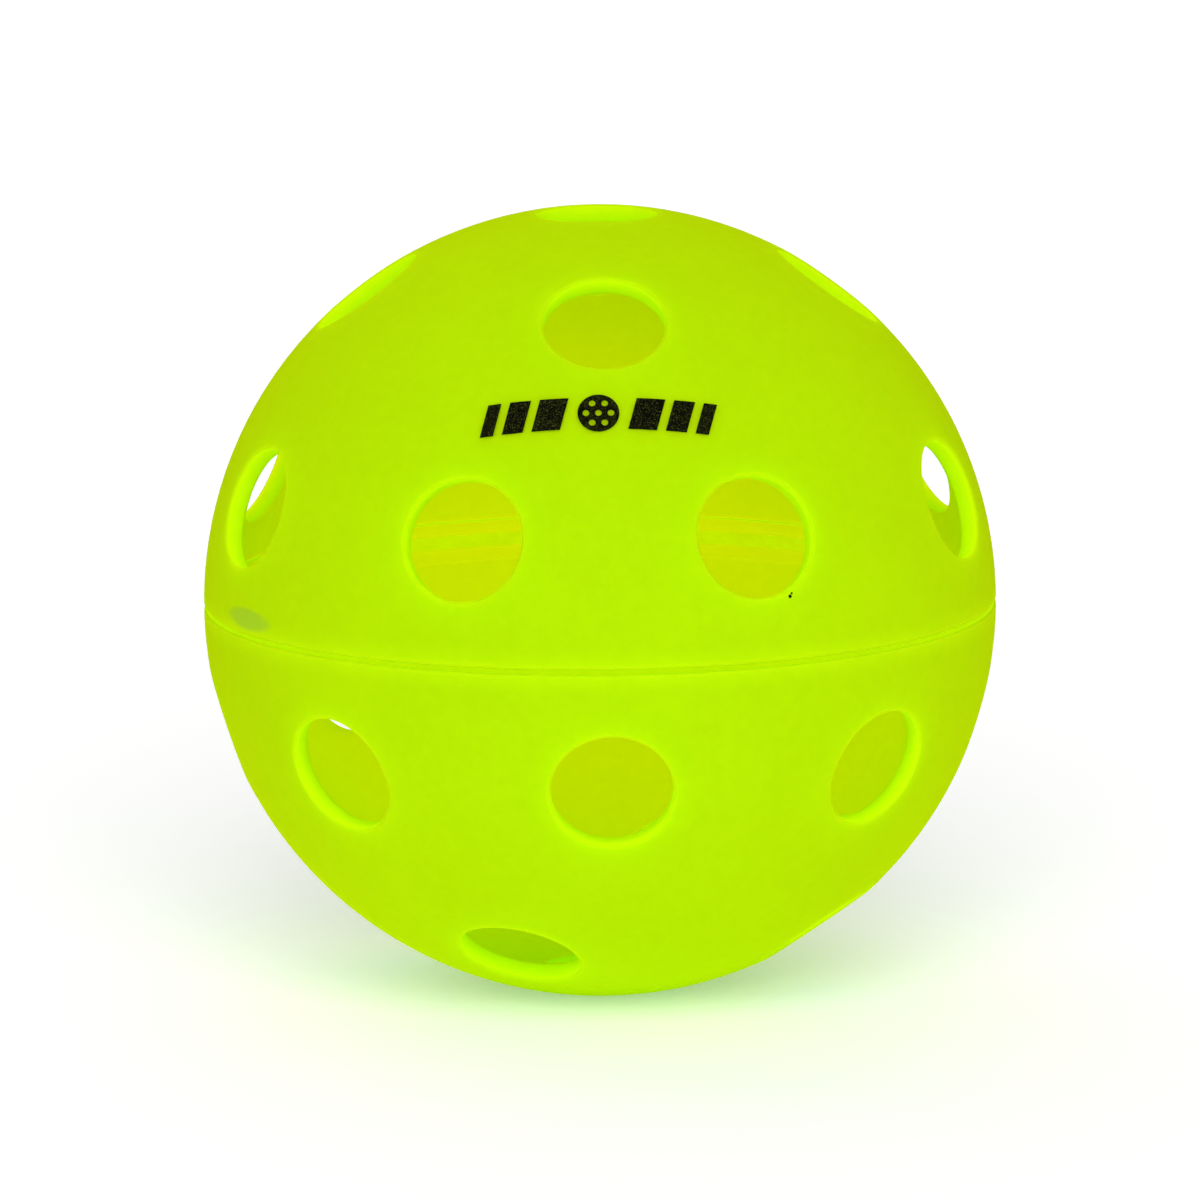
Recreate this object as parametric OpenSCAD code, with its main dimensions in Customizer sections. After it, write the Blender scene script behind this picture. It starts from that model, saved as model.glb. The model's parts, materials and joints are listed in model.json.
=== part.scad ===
// Indoor pickleball ball, a perforated sphere with 26 holes. Millimetres.
// The origin is the centre of the ball, and +Z runs through the pole of the upper half.
// Azimuth 0 faces -Y and grows towards +X. Latitude is measured from the joint.
//
// Both half shells are the same moulding. The lower one is turned over and then turned about
// Z by half a step of its ring of eight, so that the holes of the two halves are staggered.
// The halves meet edge to edge at the equator, where they are welded.

/* [Ball] */
// Outer diameter
ball_d = 74; // [60:0.5:90]
// Wall thickness of the half shells
wall = 1.8; // [1.2:0.1:3]

/* [Holes] */
// Diameter of every hole
hole_d = 11.2; // [8:0.1:14]
// Latitude of the ring of eight holes beside the joint, in degrees
ring8_lat = 18.3; // [16:0.1:22]
// Latitude of the ring of four holes between that ring and the pole, in degrees
ring4_lat = 54; // [50:0.5:58]
// Radius of the rounded edge of each hole, inside and outside
rim_r = 0.35; // [0.2:0.05:0.5]

/* [Joint] */
// Height of the thicker land at the joining edge of each half
land_h = 1.9; // [1.2:0.1:3]
// How far the land stands in from the wall
land_t = 0.6; // [0.3:0.05:1]
// Depth of the V groove round the outside of the joint
groove_depth = 0.3; // [0.2:0.05:0.5]
// Width of the V groove at the surface
groove_w = 0.9; // [0.6:0.1:1.5]
// Height of the weld bead inside the ball
bead_w = 1.3; // [0.8:0.1:1.8]
// How far the weld bead stands in from the land
bead_t = 0.35; // [0.2:0.05:0.6]
// Depth of weld left in the bottom of the V groove
scar_t = 0.12; // [0.08:0.02:0.18]

/* [Printed mark] */
// Latitude of the middle of the mark, in degrees
mark_lat = 37.6; // [36:0.2:39]
// Azimuth of the middle of the mark, in degrees
mark_az = -1.6; // [-10:0.2:10]
// Height of the slanted bars
mark_h = 3.2; // [2:0.1:3.6]
// Diameter of the ball sign in the middle of the mark
sign_d = 3.8; // [3:0.1:4]
// Thickness of the ink
ink_t = 0.04; // [0.03:0.01:0.1]
// Width of the gap beside each bar
bar_gap = 0.8; // [0.6:0.1:1.2]
// Slant of the bars, in degrees from upright
bar_slant = 14; // [0:1:25]

/* [Hidden] */

$fn = 96;
lime = [0.70, 0.92, 0.05];
ink = [0.05, 0.05, 0.05];

outer_r = ball_d / 2;
inner_r = outer_r - wall;
hole_r = hole_d / 2;
land_r = inner_r - land_t;

// The two rings of a half, as [latitude, first azimuth, number of holes]
ring8_count = 8;
ring4_count = 4;
ring8_step = 360 / ring8_count;
stagger = ring8_step / 2;
rings = [[ring4_lat, 0, ring4_count], [ring8_lat, ring8_step / 2, ring8_count]];

// How far a cutting tool stands clear of the surface that it cuts
clear = 1;

// A hole's rounded edge crosses the shell this far beyond the point where it would just touch it
cross = 0.01;
rim_u = hole_r + rim_r;
outer_rim_d = outer_r - rim_r + cross;
inner_rim_d = inner_r + rim_r - cross;
outer_rim_w = sqrt(pow(outer_rim_d, 2) - pow(rim_u, 2));
inner_rim_w = sqrt(pow(inner_rim_d, 2) - pow(rim_u, 2));

// Widths of the slanted bars on each side of the sign, from the middle outwards
bar_widths = [2.6, 1.9, 1.2];
// Where bar i starts, counted from the middle of the mark
function bar_start(i) =
    i == 0 ? sign_d / 2 + bar_gap + mark_h / 2 * tan(bar_slant)
           : bar_start(i - 1) + bar_widths[i - 1] + bar_gap;
// The dots of the sign: one in the middle and six round it
sign_dot_d = 0.62;
sign_dot_ring_r = sign_d * 0.3;

// Turns what stands on +Z towards a latitude and azimuth
module towards(lat, az) {
    rotate([90 - lat, 0, az])
        children();
}

// One hole with its rounded edges, as a solid to cut away, standing on +Z
module hole_cutter() {
    outer_stretch = (outer_r + clear) / outer_rim_d;
    inner_stretch = (inner_r - clear) / inner_rim_d;
    rotate_extrude()
        difference() {
            polygon([
                [0, inner_rim_w * inner_stretch],
                [rim_u * inner_stretch, inner_rim_w * inner_stretch],
                [rim_u, inner_rim_w],
                [rim_u, outer_rim_w],
                [rim_u * outer_stretch, outer_rim_w * outer_stretch],
                [0, outer_rim_w * outer_stretch]
            ]);
            translate([hole_r, inner_rim_w])
                square([rim_r + clear, outer_rim_w - inner_rim_w]);
            translate([rim_u, inner_rim_w])
                circle(r = rim_r);
            translate([rim_u, outer_rim_w])
                circle(r = rim_r);
        }
}

// The thirteen holes of one half
module half_holes() {
    hole_cutter();
    for (ring = rings)
        for (i = [0 : ring[2] - 1])
            towards(ring[0], ring[1] + i * 360 / ring[2])
                hole_cutter();
}

// The V groove round the outside of the joint, as a solid to cut away
module groove_cutter() {
    slope = groove_w / 2 / groove_depth;
    rotate_extrude()
        polygon([
            [outer_r - groove_depth, 0],
            [outer_r + clear, -(groove_depth + clear) * slope],
            [outer_r + clear, (groove_depth + clear) * slope]
        ]);
}

// One half shell, open side down, with its joining edge at Z = 0
module half_shell() {
    difference() {
        intersection() {
            sphere(r = outer_r);
            cylinder(r = outer_r + clear, h = outer_r + clear);
        }
        difference() {
            sphere(r = inner_r);
            difference() {
                cylinder(r = outer_r + clear, h = land_h);
                translate([0, 0, -clear])
                    cylinder(r = land_r, h = land_h + 2 * clear);
            }
        }
        groove_cutter();
        half_holes();
    }
}

module upper_half() {
    color(lime)
        half_shell();
}

module lower_half() {
    color(lime)
        rotate([180, 0, -stagger])
            half_shell();
}

// The bead that the weld squeezes out on the inside: a flat-backed ring with a round face
module inner_weld_bead() {
    // Radius of the round face, from its chord and its rise
    face_r = (pow(bead_w / 2, 2) + pow(bead_t, 2)) / (2 * bead_t);
    color(lime)
        rotate_extrude()
            intersection() {
                translate([land_r - bead_t, -bead_w / 2])
                    square([bead_t, bead_w]);
                translate([land_r - bead_t + face_r, 0])
                    circle(r = face_r);
            }
}

// The weld that shows in the bottom of the groove: a three-sided ring, flat outside
module outer_weld_line() {
    root_r = outer_r - groove_depth;
    half_w = scar_t * groove_w / 2 / groove_depth;
    color(lime)
        rotate_extrude()
            polygon([
                [root_r, 0],
                [root_r + scar_t, -half_w],
                [root_r + scar_t, half_w]
            ]);
}

// One slanted bar of the mark, flat, with its lower left corner's height centred on X = start
module bar(start, width) {
    lean = mark_h / 2 * tan(bar_slant);
    polygon([
        [start - lean, -mark_h / 2],
        [start + width - lean, -mark_h / 2],
        [start + width + lean, mark_h / 2],
        [start + lean, mark_h / 2]
    ]);
}

// The flat outline of the mark: a ball sign between slanted bars
module mark_outline() {
    difference() {
        circle(d = sign_d);
        circle(d = sign_dot_d);
        for (i = [0 : 5])
            rotate(i * 60)
                translate([sign_dot_ring_r, 0])
                    circle(d = sign_dot_d);
    }
    for (i = [0 : len(bar_widths) - 1]) {
        bar(bar_start(i), bar_widths[i]);
        bar(-bar_start(i) - bar_widths[i], bar_widths[i]);
    }
}

module printed_mark() {
    color(ink)
        intersection() {
            difference() {
                sphere(r = outer_r + ink_t);
                sphere(r = outer_r);
            }
            towards(mark_lat, mark_az)
                linear_extrude(height = outer_r + clear)
                    mark_outline();
        }
}

upper_half();
lower_half();
inner_weld_bead();
outer_weld_line();
printed_mark();
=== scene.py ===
"""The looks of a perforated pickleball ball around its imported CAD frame. Metres, +Z up.

The half shells and the weld are built again here as fine smooth meshes of the same size and
shape as the CAD nodes that they stand for. Their main sizes come from those nodes, and small
roundings are given here. The printed mark is the CAD node itself, with its own ink.
"""

import json
import math

import bmesh
import bpy
from mathutils import Matrix, Quaternion, Vector
from mathutils.geometry import delaunay_2d_cdt


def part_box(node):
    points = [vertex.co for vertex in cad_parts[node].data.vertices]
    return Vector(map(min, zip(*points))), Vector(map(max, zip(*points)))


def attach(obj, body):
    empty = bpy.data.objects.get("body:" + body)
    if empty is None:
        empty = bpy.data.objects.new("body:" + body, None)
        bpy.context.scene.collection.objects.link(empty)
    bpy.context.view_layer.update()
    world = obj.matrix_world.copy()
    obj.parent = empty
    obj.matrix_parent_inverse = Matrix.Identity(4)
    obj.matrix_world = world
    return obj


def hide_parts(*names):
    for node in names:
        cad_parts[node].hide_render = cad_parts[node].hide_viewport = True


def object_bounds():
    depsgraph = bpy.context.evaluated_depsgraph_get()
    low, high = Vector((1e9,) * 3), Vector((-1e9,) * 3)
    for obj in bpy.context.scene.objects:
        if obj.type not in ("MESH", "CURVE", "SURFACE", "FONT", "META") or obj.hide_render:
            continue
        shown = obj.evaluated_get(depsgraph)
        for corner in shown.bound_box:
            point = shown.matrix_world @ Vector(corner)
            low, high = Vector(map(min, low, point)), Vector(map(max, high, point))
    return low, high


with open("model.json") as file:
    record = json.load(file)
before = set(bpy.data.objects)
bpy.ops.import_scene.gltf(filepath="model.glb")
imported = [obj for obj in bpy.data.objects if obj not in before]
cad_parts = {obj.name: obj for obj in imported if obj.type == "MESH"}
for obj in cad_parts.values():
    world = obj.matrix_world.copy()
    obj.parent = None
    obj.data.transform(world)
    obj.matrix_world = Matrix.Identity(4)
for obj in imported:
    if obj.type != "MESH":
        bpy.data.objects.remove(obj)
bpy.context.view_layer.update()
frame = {"nodes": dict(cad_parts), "record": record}

MM = 0.001
UP = Vector((0, 0, 1))

# ---------------------------------------------------------------- sizes, from the frame

# Two lengths that differ by less than this are the same
SAME = 0.001 * MM


def cad_points(node):
    """The points of a CAD node's mesh."""
    return [v.co.copy() for v in frame["nodes"][node].data.vertices]


record = frame["record"]
half_points = cad_points("upper_half")
OUTER_R = max(p.length for p in half_points)
# Well above the joint, the point nearest to the middle lies on the inside of the wall
INNER_R = min(p.length for p in half_points if p.z > 0.2 * OUTER_R)
HOLE_R = record["mounts"][0]["dims"]["r_mm"] * MM
LAND_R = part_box("inner_weld_bead")[1].x
# The land's top is the highest point that stands in from the wall
LAND_H = max(p.z for p in half_points if p.length < INNER_R - 0.1 * MM)
BEAD_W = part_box("inner_weld_bead")[1].z * 2
BEAD_T = LAND_R - min(math.hypot(p.x, p.y) for p in cad_points("inner_weld_bead"))
GROOVE_R = max(math.hypot(p.x, p.y) for p in half_points if p.z < SAME)
GROOVE_H = min(p.z for p in half_points if p.length > OUTER_R - SAME)
SCAR_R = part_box("outer_weld_line")[1].x
SCAR_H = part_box("outer_weld_line")[1].z


def box_centre(opening):
    """The middle of an opening's box in the record."""
    low, high = opening["box_m"]
    return (Vector(low) + Vector(high)) / 2


def hole_axes(half):
    """Unit vectors along the axes of a half's thirteen holes, from the record."""
    pole = UP if half == "upper" else -UP
    rings = [o for o in record["physics"]["openings"] if o["name"].startswith(half)]
    return [pole] + [box_centre(o).normalized() for o in rings]


# Radius of the rounded edge of a hole, inside and outside
RIM_R = 0.35 * MM
# Rounding of the land's edge, and how far above the groove its lip begins to soften
STEP_R = 0.25 * MM
LIP_R = 0.12 * MM
# The softened lip: a point this far under the sphere, and one at this share of the groove's side
LIP_DROP = 0.012 * MM
LIP_SHARE = 0.35
# How far the joining face's neighbours stand upright, in the groove and on the land
GROOVE_UPRIGHT = 0.02 * MM
LAND_UPRIGHT = 0.03 * MM
# The fillet between land and wall: how far its points are from the wall, and above the land
FILLET = ((0.12 * MM, 0.02 * MM), (0.03 * MM, 0.06 * MM))
FILLET_H = STEP_R * 0.6
# How far each half stops short of the joint, and the bead short of the land
JOINT_GAP = 0.005 * MM

# ---------------------------------------------------------------- the camera

CAMERA_AZIMUTH = math.radians(-1.6)
CAMERA_ELEVATION = math.radians(10.3)
CAMERA_ROLL = math.radians(-0.48)
CAMERA_DISTANCE = 30 * OUTER_R
BALL_SHARE = 0.6600      # of the picture's width that the ball's outline takes
SENSOR = 36.0


def aim_from(azimuth, elevation):
    """Unit vector from the ball towards a viewer. Azimuth 0 is -Y and 90 degrees is +X."""
    return Vector((
        math.sin(azimuth) * math.cos(elevation),
        -math.cos(azimuth) * math.cos(elevation),
        math.sin(elevation),
    ))


def make_camera():
    """The photograph's view, from far off and with a long lens."""
    data = bpy.data.cameras.new("camera")
    data.sensor_width = SENSOR
    tangent = OUTER_R / math.sqrt(CAMERA_DISTANCE ** 2 - OUTER_R ** 2)
    data.lens = SENSOR * BALL_SHARE / 2 / tangent
    data.clip_start = 0.01
    data.clip_end = 100
    camera = bpy.data.objects.new("camera", data)
    bpy.context.scene.collection.objects.link(camera)
    back = aim_from(CAMERA_AZIMUTH, CAMERA_ELEVATION)
    level = (-back).to_track_quat("-Z", "Y")
    camera.rotation_mode = "QUATERNION"
    camera.rotation_quaternion = level @ Quaternion((0, 0, 1), CAMERA_ROLL)
    camera.location = back * CAMERA_DISTANCE
    bpy.context.scene.camera = camera


# ---------------------------------------------------------------- mesh tools

# Points closer than this are joined, and edges sharper than this stay sharp
WELD_DISTANCE = 0.002 * MM
SHARP_ANGLE = math.radians(50)
# Name of the mesh attribute that tells how near a hole is, which weighs the painted light beside
# the holes, and how far it reaches
RIM_GLOW = "rim_glow"
GLOW_REACH = 1.3 * MM


def new_object(name, mesh):
    """An object in the scene that shows a mesh."""
    thing = bpy.data.objects.new(name, mesh)
    bpy.context.scene.collection.objects.link(thing)
    return thing


def arc(centre, radius, start, end, steps):
    """Points (u, w) on an arc round centre from angle start to angle end, in radians."""
    angles = [start + (end - start) * i / steps for i in range(steps + 1)]
    return [
        (centre[0] + radius * math.cos(a), centre[1] + radius * math.sin(a))
        for a in angles
    ]


def line(start, end, steps):
    """Points from start to end, without the two ends."""
    run = end[0] - start[0]
    rise = end[1] - start[1]
    return [(start[0] + run * i / steps, start[1] + rise * i / steps) for i in range(1, steps)]


def turned_onto(axis):
    """The matrix that turns +Z onto a unit axis."""
    return UP.rotation_difference(axis).to_matrix().to_4x4()


def revolve(bm, profile, axis, segments):
    """Adds the surface that profile, points (u, w), sweeps round axis."""
    turn = turned_onto(axis)
    rings = [
        [
            bm.verts.new(turn @ Vector((
                u * math.cos(2 * math.pi * i / segments),
                u * math.sin(2 * math.pi * i / segments),
                w,
            )))
            for i in range(segments)
        ]
        for u, w in profile
    ]
    for low, high in zip(rings, rings[1:]):
        for i in range(segments):
            j = (i + 1) % segments
            bm.faces.new((low[i], low[j], high[j], high[i]))


def rim_glow(point, axes):
    """How near a point of the outside is to a hole's edge: 1 at the edge, fading to 0."""
    off = min(
        math.acos(min(1.0, point.normalized().dot(axis))) * OUTER_R
        for axis in axes
    )
    return math.exp(-max(0.0, off - HOLE_R) / GLOW_REACH)


def finish_mesh(name, bm, meets):
    """Welds the parts of a mesh, smooths it and makes its object.

    A face takes the second material if meets() says that its middle lies against another piece.
    """
    bmesh.ops.remove_doubles(bm, verts=bm.verts, dist=WELD_DISTANCE)
    bmesh.ops.recalc_face_normals(bm, faces=bm.faces)
    for face in bm.faces:
        face.material_index = 1 if meets(face.calc_center_median()) else 0
    mesh = bpy.data.meshes.new(name)
    bm.to_mesh(mesh)
    bm.free()
    mesh.shade_smooth()
    mesh.set_sharp_from_angle(angle=SHARP_ANGLE)
    return new_object(name, mesh)


# ---------------------------------------------------------------- the half shells

# Points round a hole, and round the joint
HOLE_SEGMENTS = 96
JOINT_SEGMENTS = 480
# Half angle of the round patch of shell that a hole's profile covers
PATCH = math.radians(11.2)
# Height of the belt of shell that the joint's profile covers
BELT_H = 3.4 * MM
# Spacing of the points on the shell between those, and how far they stay off them
FILL_STEP = math.radians(2.2)
FILL_MARGIN = 0.7 * FILL_STEP
# Where a profile has its points, as shares of the way over the plain part of the shell
HOLE_SHARES = (0, 0.25, 0.5, 0.7, 0.85, 0.95)
BELT_OUTSIDE_SHARES = (1, 0.75, 0.5, 0.3, 0.15)
BELT_INSIDE_SHARES = (0.35, 0.65, 1)
# Steps over a hole's rounded edge and down its wall, over the land's edge, down the land and
# across the joining face, and over the bead
EDGE_STEPS = 8
WALL_STEPS = 4
CORNER_STEPS = 4
LAND_STEPS = 5
FACE_STEPS = 4
BEAD_STEPS = 12
# What delaunay_2d_cdt is asked for: plain triangles, and points kept apart down to this distance
PLAIN_TRIANGLES = 0
FINEST = 1e-9


def polar(radius, angle):
    """The profile point on a sphere at an angle from the profile's axis."""
    return (radius * math.sin(angle), radius * math.cos(angle))


def hole_profile():
    """From the outside of the shell, over the hole's rounded edges, to the inside."""
    # The rounded edges touch the wall and the spheres, so their middles are at these u and w
    u = HOLE_R + RIM_R
    outer_w = math.sqrt((OUTER_R - RIM_R) ** 2 - u ** 2)
    inner_w = math.sqrt((INNER_R + RIM_R) ** 2 - u ** 2)
    outer_angle = math.asin(u / (OUTER_R - RIM_R))
    inner_angle = math.asin(u / (INNER_R + RIM_R))
    outside = [
        polar(OUTER_R, PATCH + (outer_angle - PATCH) * share)
        for share in HOLE_SHARES
    ]
    outer_edge = arc((u, outer_w), RIM_R, math.pi / 2 - outer_angle, math.pi, EDGE_STEPS)
    wall = line((HOLE_R, outer_w), (HOLE_R, inner_w), WALL_STEPS)
    inner_edge = arc((u, inner_w), RIM_R, math.pi, 3 * math.pi / 2 - inner_angle, EDGE_STEPS)
    inside = [
        polar(INNER_R, PATCH + (inner_angle - PATCH) * share)
        for share in reversed(HOLE_SHARES)
    ]
    return outside + outer_edge + wall + inner_edge + inside


def joint_profile():
    """From the outside of the shell, over the groove, the joining face and the land, inwards."""
    def on_sphere(radius, height):
        """The profile point on a sphere at a height above the joint."""
        return (math.sqrt(radius ** 2 - height ** 2), height)

    outside = [
        on_sphere(OUTER_R, GROOVE_H + (BELT_H - GROOVE_H) * share)
        for share in BELT_OUTSIDE_SHARES
    ]
    low = JOINT_GAP
    groove = [
        on_sphere(OUTER_R, GROOVE_H + LIP_R),
        (OUTER_R - LIP_DROP, GROOVE_H),
        (OUTER_R - (OUTER_R - GROOVE_R) * LIP_SHARE, GROOVE_H * (1 - LIP_SHARE)),
        (GROOVE_R, GROOVE_UPRIGHT),
        (GROOVE_R, low),
    ]
    face = line((GROOVE_R, low), (LAND_R, low), FACE_STEPS)
    land = [(LAND_R, low), (LAND_R, LAND_UPRIGHT)]
    land += line((LAND_R, low), (LAND_R, LAND_H - STEP_R), LAND_STEPS)
    middle = (LAND_R + STEP_R, LAND_H - STEP_R)
    corner = arc(middle, STEP_R, math.pi, math.pi / 2, CORNER_STEPS)
    foot = on_sphere(INNER_R, LAND_H + FILLET_H)
    fillet = [(foot[0] - off, LAND_H + rise) for off, rise in FILLET]
    inside = [
        on_sphere(INNER_R, LAND_H + (BELT_H - LAND_H) * share)
        for share in BELT_INSIDE_SHARES
    ]
    return outside + groove + face + land + corner + fillet + [foot] + inside


def fill_directions(axes):
    """Evenly spread directions on the upper half sphere, clear of the holes and the belt."""
    count = int(4 * math.pi / FILL_STEP ** 2)
    golden_angle = math.pi * (3 - math.sqrt(5))
    lowest = BELT_H / OUTER_R + FILL_MARGIN
    clear = math.cos(PATCH + FILL_MARGIN)
    found = []
    # A golden spiral from the pole down
    for i in range(count):
        z = 1 - (2 * i + 1) / count
        if z < lowest:
            break
        flat = math.sqrt(1 - z * z)
        turn = golden_angle * i
        way = Vector((flat * math.cos(turn), flat * math.sin(turn), z))
        if all(way.dot(axis) < clear for axis in axes):
            found.append(way)
    return found


def circle_directions(axis, angle, segments):
    """Directions at an angle from axis, where revolve() puts them."""
    turn = turned_onto(axis)
    return [
        turn @ Vector((
            math.sin(angle) * math.cos(2 * math.pi * i / segments),
            math.sin(angle) * math.sin(2 * math.pi * i / segments),
            math.cos(angle),
        ))
        for i in range(segments)
    ]


def flattened(way):
    """Stereographic projection from the pole below, which keeps circles round."""
    return Vector((way.x, way.y)) / (1 + way.z)


def add_shell_between(bm, axes):
    """The shell between the patches round the holes and the belt at the joint, both faces."""
    belt = {
        radius: math.acos(BELT_H / radius)
        for radius in (OUTER_R, INNER_R)
    }
    ways = []
    edges = []
    rims = [(axis, PATCH, HOLE_SEGMENTS) for axis in axes]
    rims.append((UP, belt[OUTER_R], JOINT_SEGMENTS))
    for axis, angle, segments in rims:
        first = len(ways)
        ways += circle_directions(axis, angle, segments)
        edges += [(first + i, first + (i + 1) % segments) for i in range(segments)]
    belt_rows = range(len(ways) - JOINT_SEGMENTS, len(ways))
    ways += fill_directions(axes)
    flat = [flattened(way) for way in ways]
    triangles = delaunay_2d_cdt(flat, edges, [], PLAIN_TRIANGLES, FINEST)[2]
    inside_hole = math.cos(PATCH)
    outer = [bm.verts.new(w * OUTER_R) for w in ways]
    inner = [bm.verts.new(w * INNER_R) for w in ways]
    # The inside meets the joint's profile at the same height, and so at another angle
    inner_belt = circle_directions(UP, belt[INNER_R], JOINT_SEGMENTS)
    for row, way in zip(belt_rows, inner_belt):
        inner[row].co = way * INNER_R
    for triangle in triangles:
        middle = sum((ways[i] for i in triangle), Vector()).normalized()
        if any(middle.dot(axis) > inside_hole for axis in axes):
            continue
        bm.faces.new([outer[i] for i in triangle])
        bm.faces.new([inner[i] for i in reversed(triangle)])


def make_half(name, half):
    """A half shell. The lower one is built open side down and turned over."""
    over = Matrix.Rotation(math.pi, 4, "X") if half == "lower" else Matrix.Identity(4)
    axes = [(over @ axis).normalized() for axis in hole_axes(half)]
    bm = bmesh.new()
    add_shell_between(bm, axes)
    for axis in axes:
        revolve(bm, hole_profile(), axis, HOLE_SEGMENTS)
    revolve(bm, joint_profile(), UP, JOINT_SEGMENTS)
    layer = bm.verts.layers.float.new(RIM_GLOW)
    deepest = 0.99 * OUTER_R
    for vert in bm.verts:
        vert[layer] = rim_glow(vert.co, axes) if vert.co.length > deepest else 0.0
    bmesh.ops.transform(bm, matrix=over, verts=bm.verts)
    return finish_mesh(name, bm, lambda p: abs(p.z) < 2 * JOINT_GAP)


# ---------------------------------------------------------------- the weld

# How far the weld line's face is hollowed between its edges
SCAR_HOLLOW = 0.03 * MM


def make_bead(name):
    """The bead inside the joint: a ring with a round face and a flat back."""
    half_w = BEAD_W / 2
    face_r = (half_w ** 2 + BEAD_T ** 2) / (2 * BEAD_T)
    half_angle = math.asin(half_w / face_r)
    back = LAND_R - JOINT_GAP
    middle = back - BEAD_T + face_r
    face = arc((middle, 0), face_r, math.pi + half_angle, math.pi - half_angle, BEAD_STEPS)
    bm = bmesh.new()
    revolve(bm, face + [(back, 0), face[0]], UP, JOINT_SEGMENTS)
    return finish_mesh(name, bm, lambda p: math.hypot(p.x, p.y) > LAND_R - 3 * JOINT_GAP)


def make_scar(name):
    """The weld that shows in the bottom of the groove, slightly hollow between its edges."""
    root = GROOVE_R + 2 * JOINT_GAP
    hollow = SCAR_R - SCAR_HOLLOW
    hidden_r = (root + SCAR_R) / 2 + JOINT_GAP
    section = [(root, 0), (SCAR_R, -SCAR_H), (hollow, 0), (SCAR_R, SCAR_H), (root, 0)]
    bm = bmesh.new()
    revolve(bm, section, UP, JOINT_SEGMENTS)
    return finish_mesh(name, bm, lambda p: math.hypot(p.x, p.y) < hidden_r)


# ---------------------------------------------------------------- materials

# Where a spot is gone and where it is full, as shares of the way from its middle to its edge
SPOT_FADE = (1.25, 0.75)


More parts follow.
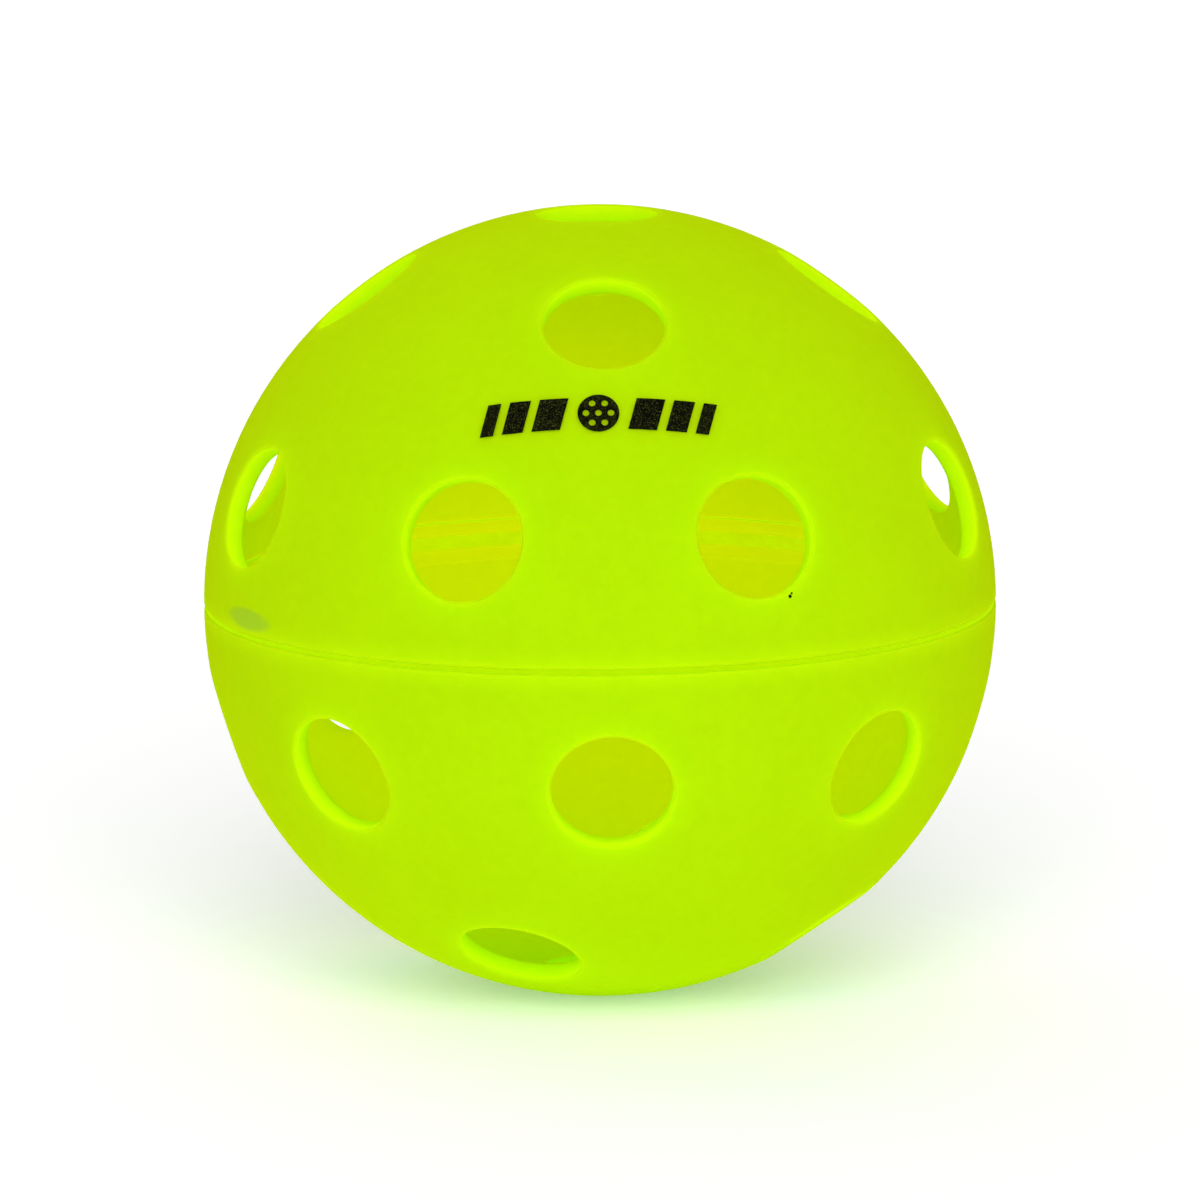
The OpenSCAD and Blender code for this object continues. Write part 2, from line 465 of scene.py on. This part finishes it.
class Nodes:
    """Short ways to add and join the nodes of one material, or of the world."""

    def __init__(self, owner, shader="Principled BSDF"):
        owner.use_nodes = True
        self.owner = owner
        self.tree = owner.node_tree
        self.shader = self.tree.nodes[shader]

    def feed(self, socket, value):
        """Joins an output to a socket, or sets the socket to a plain value."""
        if isinstance(value, bpy.types.NodeSocket):
            self.tree.links.new(value, socket)
        else:
            socket.default_value = value

    def math(self, operation, *values):
        """The result of one operation on numbers."""
        node = self.tree.nodes.new("ShaderNodeMath")
        node.operation = operation
        for socket, value in zip(node.inputs, values):
            self.feed(socket, value)
        return node.outputs[0]

    def vector(self, operation, *values):
        """The vector result, or the number if the operation gives one."""
        node = self.tree.nodes.new("ShaderNodeVectorMath")
        node.operation = operation
        for socket, value in zip(node.inputs, values):
            self.feed(socket, value)
        return node.outputs["Value" if operation in ("DOT_PRODUCT", "LENGTH") else "Vector"]

    def step(self, value, start, end, low=0.0, high=1.0):
        """Rises smoothly from low to high as value goes from start to end."""
        node = self.tree.nodes.new("ShaderNodeMapRange")
        node.interpolation_type = "SMOOTHSTEP"
        for socket, number in zip(node.inputs, (value, start, end, low, high)):
            self.feed(socket, number)
        return node.outputs["Result"]

    def mix(self, factor, first, second, blend="MIX"):
        """A colour between first and second."""
        node = self.tree.nodes.new("ShaderNodeMix")
        node.data_type = "RGBA"
        node.blend_type = blend
        sockets = [s for s in node.inputs if s.enabled and s.type in ("RGBA", "VALUE")]
        for socket, value in zip(sockets, (factor, first, second)):
            self.feed(socket, value)
        return next(s for s in node.outputs if s.enabled)

    def shade(self, colour, strength):
        """A colour times a number."""
        node = self.tree.nodes.new("ShaderNodeCombineColor")
        for socket in node.inputs:
            self.feed(socket, strength)
        return self.mix(1.0, colour, node.outputs["Color"], "MULTIPLY")

    def noise(self, size, detail=2.0):
        """Noise from 0 to 1, whose lumps are about size across."""
        node = self.tree.nodes.new("ShaderNodeTexNoise")
        self.feed(node.inputs["Vector"], self.position())
        node.inputs["Scale"].default_value = 1 / size
        node.inputs["Detail"].default_value = detail
        return node.outputs["Fac"]

    def attribute(self, name):
        """A number that the mesh holds at each point."""
        node = self.tree.nodes.new("ShaderNodeAttribute")
        node.attribute_name = name
        return node.outputs["Fac"]

    def spot(self, azimuth, latitude, length, height):
        """1 on a soft oval on the ball that faces a direction, and 0 off it. Length runs level."""
        way = aim_from(math.radians(azimuth), math.radians(latitude))
        level = Vector((0, 0, 1)).cross(way).normalized()
        place = self.position()
        across = self.vector("DOT_PRODUCT", place, tuple(level / (length / 2)))
        up = self.vector("DOT_PRODUCT", place, tuple(way.cross(level) / (height / 2)))
        # Keeps the spot off the far side of the ball
        front = self.step(self.vector("DOT_PRODUCT", place, tuple(way)), 0, 0.5 * OUTER_R)
        squares = [self.math("MULTIPLY", v, v) for v in (across, up)]
        far = self.math("SQRT", self.math("ADD", *squares))
        return self.math("MULTIPLY", front, self.step(far, *SPOT_FADE))

    def facing(self):
        """How far the surface faces away from the middle of the ball, from -1 to 1."""
        outwards = self.vector("NORMALIZE", self.position())
        node = self.tree.nodes.new("ShaderNodeNewGeometry")
        return self.vector("DOT_PRODUCT", outwards, node.outputs["True Normal"])

    def position(self, kind="Object"):
        """Where on the piece, in metres. For the world, Generated is the way that one looks."""
        node = self.tree.nodes.new("ShaderNodeTexCoord")
        return node.outputs[kind]

    def part(self, vector, axis):
        """One of the three numbers of a vector."""
        node = self.tree.nodes.new("ShaderNodeSeparateXYZ")
        self.feed(node.inputs[0], vector)
        return node.outputs[axis]

    def height(self):
        """How far above or below the joint."""
        return self.math("ABSOLUTE", self.part(self.position(), "Z"))

    def bump(self, height, distance):
        """A normal for a surface that is distance higher where height is 1 than where it is 0."""
        node = self.tree.nodes.new("ShaderNodeBump")
        node.inputs["Strength"].default_value = 1.0
        node.inputs["Distance"].default_value = distance
        self.feed(node.inputs["Height"], height)
        return node.outputs["Normal"]

    def set(self, **values):
        """Sets the shader's sockets, named with _ for the spaces."""
        for name, value in values.items():
            self.feed(self.shader.inputs[name.replace("_", " ")], value)


# How far light goes in the plastic before it scatters, as Cycles counts a subsurface radius
DEPTH_UNIT = 4 * math.pi * MM
# Colours of the plastic, and how deep red, green and blue light goes in, in millimetres. The
# inside, the hole walls and the land are paler than the outside: painted light that stands in for
# the light that gathers inside the ball
OUTSIDE = ((0.408, 0.652, 0.001, 1), (0.18, 0.22, 0.1, 1))
WALL = ((0.42, 0.70, 0.001, 1), (0.9, 1.2, 0.1, 1))
INSIDE = ((0.655, 0.918, 0.001, 1), (1.2, 1.4, 0.1, 1))
LAND = ((0.70, 0.97, 0.001, 1), (2.0, 2.0, 0.1, 1))
# Painted light on the outside beside the edge of a hole: a paler colour that stands in for light
# coming through the hole's edge
RIM_PAINTED_LIGHT = (0.42, 0.71, 0.001, 1)
# Painted glow: emission on the hole walls that stands in for the light that the fluorescent
# plastic leads out at the cut edges of its holes
EDGE_PAINTED_GLOW = (0.06, 0.16, 0.0, 1)
NO_LIGHT = (0, 0, 0, 1)
# Painted light: a soft band on the outside over the land behind the joint is painted brighter: its
# half height from and to, and its gain
BAND_FADE = (2.4 * MM, 0.4 * MM)
BAND_PAINTED_LIGHT = 1.05

# Colours of the weld, paler than the shell, partly clearer plastic and partly painted light, and
# the painted glow that it gives out, emission that stands in for light crossing the weld
BEAD_COLOUR = (0.90, 0.97, 0.001, 1)
BEAD_PAINTED_GLOW = (0.15, 0.01, 0.0, 1)
SCAR_COLOUR = (0.55, 0.90, 0.001, 1)
SCAR_PAINTED_GLOW = (0.27, 0.40, 0.0, 1)
# Painted light: emission at the faces where two pieces meet, standing in for the light inside the
# plastic that crosses the weld
JOINT_PAINTED_LIGHT = (0.40, 0.46, 0.0, 1)

# A duller grey-green patch just above the weld
GREY_PATCH_AZIMUTH = -63
GREY_PATCH_LATITUDE = 2.6
GREY_PATCH_LENGTH = 7.6 * MM
GREY_PATCH_HEIGHT = 1.9 * MM
GREY_PATCH_COLOUR = (0.26, 0.45, 0.025, 1)
GREY_PATCH_SHARE = 0.55
# Its lumps, and the noise levels where it is missing and full
GREY_PATCH_LUMPS = 1.6 * MM
GREY_PATCH_GAPS = (0.1, 0.5)

# Ink, the lime that shows in its pinholes, and specks of it that the print left beside the mark
INK_BLACK = (0.003, 0.003, 0.002, 1)
PINHOLE = (0.08, 0.10, 0.01, 1)
PINHOLE_SHARE = 0.6
# Noise levels of the grain and of the clouds where the pinholes begin and are full
PINHOLE_GRAIN = (0.54, 0.68)
PINHOLE_CLOUD = (0.25, 0.5)
# Azimuth and latitude in degrees, and size
INK_SPECKS = [(26.6, 9.4, 0.34 * MM), (26.9, 9.8, 0.22 * MM)]

# How far the surface faces outwards, from 1 to -1, where the inside and the hole walls fade in
INSIDE_FADE = (-0.1, -0.6)
WALL_FADE = (0.75, 0.2)
# Height over which the land's look fades out above it
LAND_FADE = 0.4 * MM

# Nearly all of a noise lies in the first span, and of a sum of two noises in the second
NOISE_SPAN = (0.3, 0.7)
NOISE_PAIR_SPAN = (0.7, 1.3)
# Lumps of the cloudy colour, the grain of the skin and its height, and the roughness from and to
SHELL_CLOUDS = (9 * MM, 1.1 * MM)
SHELL_CLOUD_GAIN = (0.985, 1.015)
SHELL_GRAINS = (0.5 * MM, 3 * MM)
SHELL_GRAIN_H = 0.012 * MM
SHELL_PATCHES = 2.2 * MM
SHELL_ROUGHNESS = (0.42, 0.52)
# The same for the weld, the joining faces and the ink
WELD_CLOUDS = 1.4 * MM
WELD_CLOUD_GAIN = (0.97, 1.03)
WELD_GRAIN_H = 0.02 * MM
WELD_ROUGHNESS = (0.35, 0.45)
JOINT_CLOUD_GAIN = (0.98, 1.02)
INK_GRAIN = 0.11 * MM
INK_GRAIN_H = 0.01 * MM
INK_CLOUDS = 0.9 * MM
INK_ROUGHNESS = (0.45, 0.6)


def make_shell_material(name):
    """Translucent lime polyethylene, painted paler inside, on the hole walls and on the land to
    stand in for the light from the holes that gathers there.
    """
    n = Nodes(bpy.data.materials.new(name))
    facing = n.facing()
    inside = n.step(facing, *INSIDE_FADE)
    wall = n.step(n.math("ABSOLUTE", facing), *WALL_FADE)
    land = n.math("MULTIPLY", inside, n.step(n.height(), LAND_H + LAND_FADE, LAND_H))
    mixed = []
    # Paler copies of the plastic for the inside, the hole walls and the land: painted light
    for outer, inner, cut, thick in zip(OUTSIDE, INSIDE, WALL, LAND):
        value = n.mix(inside, outer, inner)
        value = n.mix(wall, value, cut)
        mixed.append(n.mix(land, value, thick))
    colour, depth = mixed
    # Painted light: paler beside the edges of the holes
    colour = n.mix(n.attribute(RIM_GLOW), colour, RIM_PAINTED_LIGHT)
    # Painted light: a brighter band on the outside near the joint
    painted_band_light = n.step(n.height(), *BAND_FADE, 1.0, BAND_PAINTED_LIGHT)
    colour = n.mix(inside, n.shade(colour, painted_band_light), colour)
    # A duller grey-green patch just above the weld
    grey_patch = n.spot(GREY_PATCH_AZIMUTH, GREY_PATCH_LATITUDE, GREY_PATCH_LENGTH, GREY_PATCH_HEIGHT)
    grey_patch = n.math("MULTIPLY", grey_patch, n.step(n.noise(GREY_PATCH_LUMPS), *GREY_PATCH_GAPS))
    colour = n.mix(n.math("MULTIPLY", grey_patch, GREY_PATCH_SHARE), colour, GREY_PATCH_COLOUR)
    for azimuth, latitude, size in INK_SPECKS:
        colour = n.mix(n.spot(azimuth, latitude, size, size), colour, INK_BLACK)
    cloud = n.math("ADD", n.noise(SHELL_CLOUDS[0]), n.noise(SHELL_CLOUDS[1]))
    colour = n.shade(colour, n.step(cloud, *NOISE_PAIR_SPAN, *SHELL_CLOUD_GAIN))
    skin = n.math("ADD", n.noise(SHELL_GRAINS[0], detail=3.0), n.noise(SHELL_GRAINS[1]))
    patches = n.noise(SHELL_PATCHES, detail=3.0)
    n.set(
        Base_Color=colour,
        Normal=n.bump(skin, SHELL_GRAIN_H),
        Roughness=n.step(patches, *NOISE_SPAN, *SHELL_ROUGHNESS),
        Specular_IOR_Level=0.0,
        Subsurface_Weight=1.0,
        Subsurface_Radius=depth,
        Subsurface_Scale=DEPTH_UNIT,
        # Painted glow on the hole walls
        Emission_Color=n.mix(wall, NO_LIGHT, EDGE_PAINTED_GLOW),
        Emission_Strength=1.0,
    )
    n.owner.cycles.emission_sampling = "NONE"
    return n.owner


def make_weld_material(name, colour, glow):
    """Weld plastic, clearer than the shell and a little uneven. Its pale colour is partly painted
    light, and its emission is painted glow for the light crossing the weld.
    """
    n = Nodes(bpy.data.materials.new(name))
    cloud = n.noise(WELD_CLOUDS)
    strength = n.step(cloud, *NOISE_SPAN, *WELD_CLOUD_GAIN)
    n.set(
        Base_Color=n.shade(colour, strength),
        Normal=n.bump(cloud, WELD_GRAIN_H),
        Roughness=n.step(cloud, *NOISE_SPAN, *WELD_ROUGHNESS),
        Specular_IOR_Level=0.0,
        Subsurface_Weight=1.0,
        Subsurface_Radius=LAND[1][:3],
        Subsurface_Scale=DEPTH_UNIT,
        # Painted glow: the weld gives out light though it is no lamp
        Emission_Color=n.shade(glow, strength),
        Emission_Strength=1.0,
    )
    n.owner.cycles.emission_sampling = "NONE"
    return n.owner


def make_joint_material(name):
    """Faces that meet another piece. Their colour and emission are painted light that stands in
    for the light crossing the weld.
    """
    n = Nodes(bpy.data.materials.new(name))
    strength = n.step(n.noise(WELD_CLOUDS), *NOISE_SPAN, *JOINT_CLOUD_GAIN)
    light = n.shade(JOINT_PAINTED_LIGHT, strength)
    n.set(
        Base_Color=light,
        Emission_Color=light,
        Emission_Strength=1.0,
        Specular_IOR_Level=0.0,
    )
    n.owner.cycles.emission_sampling = "NONE"
    return n.owner


def make_ink_material(name):
    """Pad-printed ink, thin enough for the lime to show in pinholes."""
    n = Nodes(bpy.data.materials.new(name))
    grain = n.noise(INK_GRAIN, detail=1.0)
    cloud = n.noise(INK_CLOUDS)
    pinholes = n.math("MULTIPLY", n.step(grain, *PINHOLE_GRAIN), n.step(cloud, *PINHOLE_CLOUD))
    n.set(
        Base_Color=n.mix(n.math("MULTIPLY", pinholes, PINHOLE_SHARE), INK_BLACK, PINHOLE),
        Normal=n.bump(grain, INK_GRAIN_H),
        Roughness=n.step(cloud, *NOISE_SPAN, *INK_ROUGHNESS),
        Specular_IOR_Level=0.0,
    )
    return n.owner


# ---------------------------------------------------------------- stage and light

# What the ball sees: a white backdrop all round, a softer ceiling, and darker drapes high up on
# its left and right, which keep its edges from washing out
HORIZON = (1.0, 1.0, 1.0, 1)
CEILING = (0.55, 0.55, 0.55, 1)
SIDE_DRAPE = (0.06, 0.06, 0.06, 1)
# Where the ceiling and the drapes fade in, in the Z and the X of the unit vector that looks there
CEILING_FADE = (0.03, 0.12)
DRAPE_FADE = (0.35, 0.85)
# Light that comes up through the floor paper, as on a light table
FLOOR_LIGHT = 0.23
# Strength of the softboxes, in watts per square metre
FRONT_LIGHT = 0.72 * math.pi
BACK_LIGHT = 0.14 * math.pi
# How far the floor goes on all four sides, in metres
FLOOR_REACH = 30
# Light goes to and fro many times inside the ball
MAX_BOUNCES = 24
DIFFUSE_BOUNCES = 16


def make_floor():
    """White paper under the ball."""
    bm = bmesh.new()
    bmesh.ops.create_grid(bm, x_segments=1, y_segments=1, size=FLOOR_REACH)
    mesh = bpy.data.meshes.new("floor")
    bm.to_mesh(mesh)
    bm.free()
    floor = new_object("floor", mesh)
    floor.location.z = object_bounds()[0].z
    n = Nodes(bpy.data.materials.new("floor_paper"))
    n.set(
        Base_Color=(0.95, 0.95, 0.95, 1),
        Roughness=0.9,
        Specular_IOR_Level=0.1,
        Emission_Color=(1, 1, 1, 1),
        Emission_Strength=FLOOR_LIGHT,
    )
    mesh.materials.append(n.owner)


def make_lamp(name, azimuth, elevation, strength, width):
    """A soft light from afar. Its place in the sky is in degrees, and its width in radians."""
    data = bpy.data.lights.new(name, "SUN")
    data.energy = strength
    data.angle = width
    lamp = bpy.data.objects.new(name, data)
    bpy.context.scene.collection.objects.link(lamp)
    back = aim_from(math.radians(azimuth), math.radians(elevation))
    lamp.location = back
    lamp.rotation_mode = "QUATERNION"
    lamp.rotation_quaternion = (-back).to_track_quat("-Z", "Y")


def make_light():
    """The studio round the ball, and its two softboxes."""
    n = Nodes(bpy.data.worlds.new("studio"), "Background")
    way = n.position("Generated")
    high = n.step(n.part(way, "Z"), *CEILING_FADE)
    side = n.step(n.math("ABSOLUTE", n.part(way, "X")), *DRAPE_FADE)
    n.set(Color=n.mix(high, HORIZON, n.mix(side, CEILING, SIDE_DRAPE)), Strength=1.0)
    bpy.context.scene.world = n.owner
    make_lamp("front_softbox", azimuth=0, elevation=30, strength=FRONT_LIGHT, width=0.8)
    make_lamp("back_softbox", azimuth=200, elevation=40, strength=BACK_LIGHT, width=1.2)


# ---------------------------------------------------------------- the object

make_camera()

lime = make_shell_material("lime_plastic")
joint = make_joint_material("welded_faces")
ink = make_ink_material("black_ink")
bead_plastic = make_weld_material("bead_plastic", BEAD_COLOUR, BEAD_PAINTED_GLOW)
scar_plastic = make_weld_material("scar_plastic", SCAR_COLOUR, SCAR_PAINTED_GLOW)

upper = make_half("upper_shell", "upper")
lower = make_half("lower_shell", "lower")
bead = make_bead("weld_bead")
scar = make_scar("weld_line")
for piece, node, slot, plastic in (
    (upper, "upper_half", "shell", lime),
    (lower, "lower_half", "shell", lime),
    (bead, "inner_weld_bead", "weld", bead_plastic),
    (scar, "outer_weld_line", "weld", scar_plastic),
):
    piece.data.materials.append(plastic)
    piece.data.materials.append(joint)
    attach(piece, "root")
    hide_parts(node)

frame["nodes"]["printed_mark"].data.materials.clear()
frame["nodes"]["printed_mark"].data.materials.append(ink)

make_floor()
make_light()
bpy.context.scene.view_settings.view_transform = "Standard"
bpy.context.scene.cycles.max_bounces = MAX_BOUNCES
bpy.context.scene.cycles.diffuse_bounces = DIFFUSE_BOUNCES
